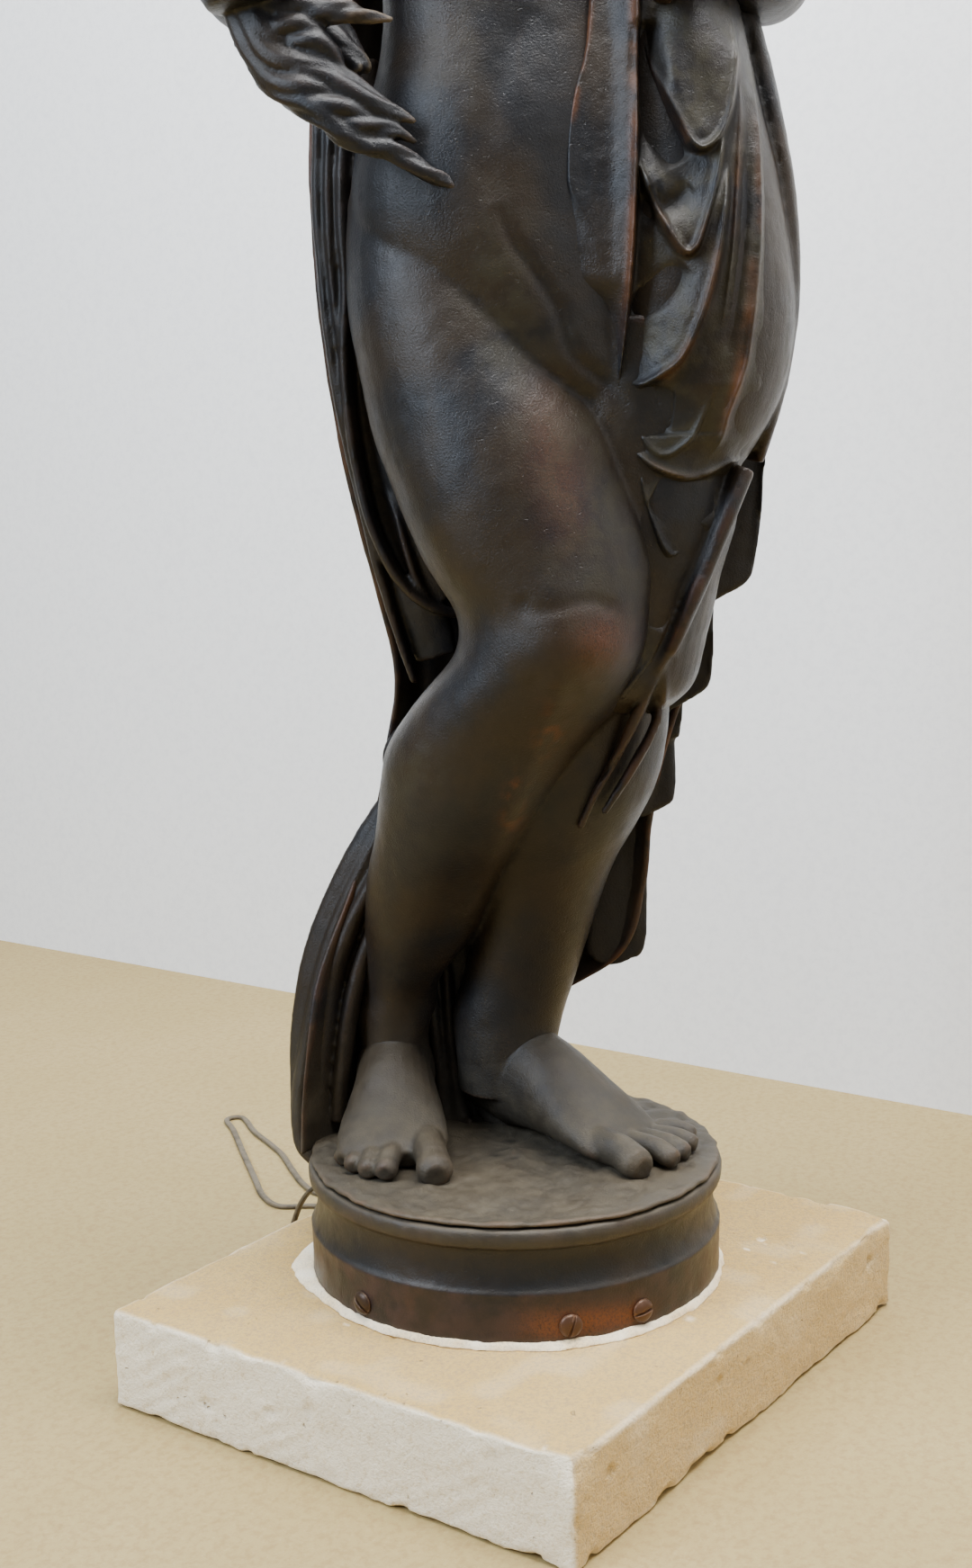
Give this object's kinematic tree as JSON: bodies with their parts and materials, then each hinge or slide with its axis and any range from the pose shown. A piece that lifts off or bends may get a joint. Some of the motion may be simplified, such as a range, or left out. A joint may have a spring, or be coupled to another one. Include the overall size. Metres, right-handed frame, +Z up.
{
  "type": "cast iron statue",
  "caption": "Standing winged cupid in cast iron with draped cloak and lowered torch, on a round moulded ring fixed to a rough stone slab.",
  "frame": {"origin": "on the underside of the stone slab, on the axis of the moulded ring", "axes": "+Z up; X along the long side of the slab, Y along its short side; the figure faces between -X and -Y"},
  "size_m": [0.64, 0.8146, 1.5658],
  "materials": {
    "iron": "dark brown-black patina with a satin sheen, worn orange-brown on ridges",
    "ring_iron": "red-brown rusted band under a dark blue-grey hollow",
    "screw_steel": "brown rusted slotted heads",
    "stone": "rough sawn limestone, tan on top and paler on the sawn sides",
    "mortar": "dry off-white mortar",
    "flex": "flat olive-brown twin flex",
    "plug_plastic": "white moulded plug",
    "gland_rubber": "black rubber sleeve"
  },
  "bodies": {
    "root": {"cupid_figure": "iron", "base_ring": "ring_iron", "screw_1": "screw_steel", "screw_2": "screw_steel", "screw_3": "screw_steel", "screw_4": "screw_steel", "screw_5": "screw_steel", "mortar_ring": "mortar", "stone_slab": "stone", "cord_gland": "gland_rubber", "cord": "flex", "cord_coil": "flex", "plug": "plug_plastic"}
  },
  "joints": []
}
